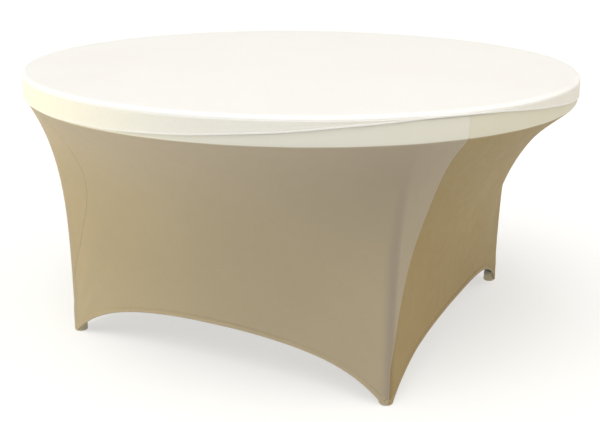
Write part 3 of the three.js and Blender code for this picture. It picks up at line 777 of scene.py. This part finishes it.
def make_pocket(corner):
    """A cup of cloth that holds the foot: high outside, where the hem covers it, and lower inside."""
    x_sign, y_sign = CORNERS[corner]
    around = np.linspace(0, FULL_TURN, 72, endpoint=False)
    angle = math.atan2(y_sign, x_sign) - around
    facing = np.stack([np.cos(angle), np.sin(angle), 0 * angle], -1)
    centre = np.array([x_sign * LEG_X, y_sign * LEG_Y, 0])
    top = POCKET_OUTSIDE - (POCKET_OUTSIDE - POCKET_INSIDE) * smooth((1 - np.cos(around)) / 2)
    rows = [(share * POCKET_RADIUS, POCKET_FLOOR + 0 * top) for share in (0.0, 0.5, 0.93)]
    for share in np.linspace(0, 1, 14):
        rows.append((POCKET_RADIUS, POCKET_BEND + (top - POCKET_BEND) * share))
    points = np.stack([centre + facing * reach + z[:, None] * np.array([0, 0, 1]) for reach, z in rows], 1)
    name = f"{'right' if x_sign > 0 else 'left'}_{'front' if y_sign < 0 else 'back'}"
    place = lengths_on_grid(points)
    # The pocket's cloth carries painted light.
    pocket = cloth_object("pocket_" + name, points, place, pocket_knit_painted_light, wraps=True, thickness=POCKET_CLOTH)
    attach(pocket, "root")
    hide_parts("foot_pocket_" + name)
    section = [(-0.0002, -0.0012), (0.0009, -0.0012), (0.0010, 0.0002), (0.0004, 0.0007), (-0.0002, 0.0002)]
    rings = np.stack([points[:, -1] + facing * out + np.array([0, 0, up]) for out, up in section], 1)
    binding = ring_object("pocket_binding_" + name, rings, cover_thread, closed=True)
    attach(binding, "root")
    return pocket, binding


# ---------------------------------------------------------------- round cloths
AROUND = np.linspace(0, FULL_TURN, 240, endpoint=False)
FINELY_AROUND = np.linspace(0, FULL_TURN, 960, endpoint=False)


def hoop(angles, reach, height):
    """Points round the upright axis."""
    return np.stack([reach * np.cos(angles), reach * np.sin(angles), height + 0 * angles], -1)


def hoop_rings(angles, reach, height, section):
    """Rings round the upright axis. section lists (out, up) from the hoop at that reach and height."""
    return np.stack([hoop(angles, reach + out, height + up) for out, up in section], 1)


def polar_cloth(name, profile_at, angles, material):
    """A round cloth from a profile of (radius, height) rows for each angle."""
    rows = np.stack([np.array(profile_at(a)) for a in angles])
    radius, height = rows[..., 0], rows[..., 1]
    around = angles[:, None]
    points = np.stack([radius * np.cos(around), radius * np.sin(around), height], -1)
    upright = np.stack([around * COVER_RADIUS + 0 * radius, height], -1)
    place = np.where(radius[..., None] < COVER_RADIUS * 0.97, points[..., :2], upright)
    return cloth_object(name, points, place, material, wraps=True)


def disc_profile(radius, height, corner, flat_radius):
    """A disc's profile: flat from the middle to flat_radius, then round its corner to the upright side."""
    flat = [(share * flat_radius, height) for share in np.linspace(0, 1, 24)]
    turns = np.linspace(math.pi / 2, 0, 7)[1:]
    centre = (radius - corner, height - corner)
    return flat + [(centre[0] + corner * math.cos(a), centre[1] + corner * math.sin(a)) for a in turns]


def make_cover_disc():
    profile = disc_profile(COVER_RADIUS, TOP_Z + DISC_GAP, DISC_CORNER, COVER_RADIUS - 0.010)
    disc = polar_cloth("cover_disc", lambda angle: profile, AROUND, cover_knit)
    shade_points(disc.data, "plastic_behind", np.ones(len(disc.data.vertices)))
    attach(disc, "root")
    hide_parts("cover_top")
    section = [(-0.0002, -0.0009), (0.0004, -0.0004), (0.0005, 0.0), (0.0004, 0.0004), (-0.0002, 0.0009)]
    rings = hoop_rings(AROUND, COVER_RADIUS + CLOTH, DISC_SEAM_Z, section)
    welt = ring_object("cover_rim_seam", rings[:, ::-1], cover_thread, closed=True)
    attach(welt, "root")
    return disc, welt


# ---------------------------------------------------------------- topper
def ridden_up(angle):
    """1 where the topper's hem has ridden up most, falling off to 0 on both sides."""
    away = (angle - TOPPER_RISE_AT + math.pi) % FULL_TURN - math.pi
    return np.exp(-((away / TOPPER_RISE_SPREAD) ** 2))


def topper_hem_z(angle):
    waves = 0.0008 * np.sin(9 * angle + 1.0) + 0.0005 * np.sin(23 * angle)
    return TOPPER_Z - TOPPER_DEPTH + TOPPER_RISE * ridden_up(angle) + waves * (1 - 0.5 * ridden_up(angle))


def band_radius(angle, share):
    """The band lies close to the rim; where it has ridden up it stands a little proud in soft folds."""
    folds = np.sin(7 * angle + 5 * share) * np.sin(3 * math.pi * share)
    gathers = 0.00025 * np.sin(angle * 310) * share**3
    return TOPPER_RADIUS + ridden_up(angle) * 0.0005 * (1 + folds) + gathers


def band_profile(angle):
    top = TOPPER_SEAM_Z - 0.0002
    bottom = topper_hem_z(angle) + ELASTIC_HEIGHT / 2
    return [(band_radius(angle, share), top + (bottom - top) * share) for share in np.linspace(0, 1, 14)]


def make_topper():
    flat_radius = TOPPER_RADIUS - TOPPER_CORNER - 0.001
    profile = disc_profile(TOPPER_RADIUS, TOPPER_INNER_Z, TOPPER_CORNER, flat_radius)
    disc = polar_cloth("topper_disc", lambda angle: profile, AROUND, topper_knit)
    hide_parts("topper_top")

    # The upright band uses the topper's cloth with painted shade.
    band = polar_cloth("topper_side", band_profile, FINELY_AROUND, band_knit_painted_shade)
    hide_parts("topper_band")

    middle = topper_hem_z(FINELY_AROUND) + ELASTIC_HEIGHT / 2
    reach = band_radius(FINELY_AROUND, 1.0)
    outer = [(0.0011, 0.42), (0.0015, 0.1), (0.0014, -0.3), (0.0008, -0.5), (0.0001, -0.4)]
    outline = [(0, 0.5)] + outer + [(0, 0)]
    section = [(out, share * ELASTIC_HEIGHT) for out, share in outline]
    rings = hoop_rings(FINELY_AROUND, reach, middle, section)
    hem = ring_object("topper_elastic_hem", rings, topper_knit, closed=True)
    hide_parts("topper_elastic")

    section = [(-0.0002, -0.0010), (0.0001, -0.0005), (0.0002, 0.0), (0.0001, 0.0005), (-0.0002, 0.0010)]
    rings = hoop_rings(FINELY_AROUND, TOPPER_RADIUS + CLOTH, TOPPER_SEAM_Z, section)
    welt = ring_object("topper_seam", rings[:, ::-1], topper_knit, closed=True)

    line = hoop(FINELY_AROUND, reach + 0.0015, middle + 0.0011)
    outward = hoop(FINELY_AROUND, 1.0, 0.0)
    stitches = stitch_line("topper_hem_stitches", line, outward, topper_thread, TOPPER_STITCH_SPACING)
    for piece in (disc, band, hem, welt, stitches):
        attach(piece, "topper")
    return disc, band, hem, welt, stitches


# ---------------------------------------------------------------- table
def soften(obj, angle=40):
    """Smooth shading across a CAD node's shallow edges, by normals alone."""
    mesh = obj.data
    corners = np.zeros(len(mesh.loops), int)
    mesh.loops.foreach_get("vertex_index", corners)
    places = np.array([v.co for v in mesh.vertices])
    _, group = np.unique(np.round(places[corners], 6), axis=0, return_inverse=True)
    group = group.reshape(-1)
    normals = np.zeros((len(mesh.loops), 3))
    weights = np.zeros((len(mesh.loops), 3))
    for polygon in mesh.polygons:
        for i in polygon.loop_indices:
            normals[i] = polygon.normal
            weights[i] = polygon.normal * polygon.area
    order = np.argsort(group, kind="stable")
    starts = np.r_[0, np.nonzero(np.diff(group[order]))[0] + 1, len(order)]
    limit = math.cos(math.radians(angle))
    mixed = np.zeros_like(normals)
    for a, b in zip(starts[:-1], starts[1:]):
        members = order[a:b]
        alike = normals[members] @ normals[members].T > limit
        mixed[members] = alike @ weights[members]
    lengths = np.linalg.norm(mixed, axis=1, keepdims=True)
    mixed = np.where(lengths > 1e-12, mixed / np.maximum(lengths, 1e-12), normals)
    mesh.shade_smooth()
    mesh.normals_split_custom_set(mixed.tolist())


def finish_of(name):
    """The material of a CAD node that stays visible."""
    if name == "table_top":
        return plastic
    if name.startswith("foot_cap"):
        return foot_rubber
    if name.startswith(("rail_screw", "pivot_hanger", "brace", "elbow", "bracket")):
        return zinc_steel
    return coated_steel


def finish_table():
    for name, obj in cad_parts.items():
        if name.startswith(("cover_", "foot_pocket", "topper_")):
            continue
        obj.data.materials.clear()
        obj.data.materials.append(finish_of(name))
        soften(obj)


# ---------------------------------------------------------------- floor and backdrop
GLOW = (1.0, 1.0, 0.99, 1)
FLOOR_COLOUR = (0.37, 0.37, 0.365)
FLOOR_TONE = (0.39, 0.39, 0.385)
FLOOR_GLOW = 0.60
FLOOR_REACH = 40
BACKDROP_GLOW = 0.97
BACKDROP_RADIUS = 38
BACKDROP_HEIGHT = 30
BACKDROP_SIDES = 48


def make_floor():
    """A pale floor with a soft glow of its own, so that the shadow on it stays faint."""
    material, nodes, links, shader = new_material("pale_floor")
    solid = nodes.new("ShaderNodeTexCoord").outputs["Object"]
    tone = ramp(nodes, links, noise(nodes, links, solid, scale=1.5), low=0.2, high=0.8)
    links.new(mix_colour(nodes, links, tone, FLOOR_COLOUR, FLOOR_TONE), shader.inputs["Base Color"])
    shader.inputs["Roughness"].default_value = 0.9
    shader.inputs["Emission Color"].default_value = GLOW
    shader.inputs["Emission Strength"].default_value = FLOOR_GLOW
    corners = [(x * FLOOR_REACH, y * FLOOR_REACH, 0) for x, y in ((-1, -1), (1, -1), (1, 1), (-1, 1))]
    mesh_object("floor", corners, [(0, 1, 2, 3)], material)


def make_backdrop():
    """A glowing wall round the floor, which lights nothing, so that low views have no dark horizon."""
    material, _, _, shader = new_material("pale_wall")
    shader.inputs["Base Color"].default_value = (0, 0, 0, 1)
    shader.inputs["Specular IOR Level"].default_value = 0
    shader.inputs["Emission Color"].default_value = GLOW
    shader.inputs["Emission Strength"].default_value = BACKDROP_GLOW
    turn = np.linspace(0, FULL_TURN, BACKDROP_SIDES, endpoint=False)
    wall = np.stack([hoop(turn, BACKDROP_RADIUS, height) for height in (0, BACKDROP_HEIGHT)], 1)
    faces = grid_faces(BACKDROP_SIDES, 2, True)
    backdrop = mesh_object("backdrop", wall.reshape(-1, 3), faces, material)
    for ray in ("diffuse", "glossy", "shadow", "transmission"):
        setattr(backdrop, "visible_" + ray, False)


# ---------------------------------------------------------------- light
WARM_WHITE = (1.0, 0.70, 0.25)
WARM_GLANCE = (1.0, 0.82, 0.30)
WORLD_LIGHT = 0.10
SUN_DISTANCE = 4


def soft_sun(name, azimuth, elevation, strength, spread, colour):
    """A broad, even light from far away, like a large ceiling panel. Angles are in degrees."""
    data = bpy.data.lights.new(name, "SUN")
    data.angle = math.radians(spread)
    data.energy = strength
    data.color = colour
    light = link(bpy.data.objects.new(name, data))
    azimuth, elevation = math.radians(azimuth), math.radians(elevation)
    flat = math.cos(elevation)
    towards = Vector((math.cos(azimuth) * flat, math.sin(azimuth) * flat, math.sin(elevation)))
    light.location = towards * SUN_DISTANCE
    light.rotation_euler = towards.to_track_quat("Z", "Y").to_euler()


def soft_lamp(name, place, aim, size, power, colour):
    """A round lamp at a place, shining along aim."""
    data = bpy.data.lights.new(name, "AREA")
    data.shape = "DISK"
    data.size = size
    data.energy = power
    data.color = colour
    lamp = link(bpy.data.objects.new(name, data))
    lamp.location = place
    lamp.rotation_euler = (-Vector(aim)).to_track_quat("Z", "Y").to_euler()
    lamp.visible_camera = False


def make_lights():
    soft_sun("key", azimuth=-110, elevation=66, strength=2.4, spread=55, colour=WHITE)
    soft_sun("high_right", azimuth=-5, elevation=67, strength=1.1, spread=55, colour=WHITE)
    soft_sun("warm_right", azimuth=15, elevation=36, strength=0.45, spread=30, colour=WARM_WHITE)
    low_left = (-1.5, -1.15, 0.22)
    inwards = (1.13, 0.74, 0.08)
    soft_lamp("warm_left", place=low_left, aim=inwards, size=0.8, power=10, colour=WARM_GLANCE)
    world = bpy.data.worlds.new("studio")
    bpy.context.scene.world = world
    world.use_nodes = True
    background = world.node_tree.nodes["Background"]
    background.inputs["Color"].default_value = (*WHITE, 1)
    background.inputs["Strength"].default_value = WORLD_LIGHT
    bpy.context.scene.view_settings.view_transform = "Standard"


# ---------------------------------------------------------------- the whole
make_camera()
panels = [make_panel(k) for k in range(4)]
trims = [make_hem(k) + make_seam(k) for k in range(4)]
cover_disc, rim_seam = make_cover_disc()
for corner in range(4):
    trims[corner].extend(make_pocket(corner))
topper = make_topper()
finish_table()
make_floor()
make_backdrop()
make_lights()
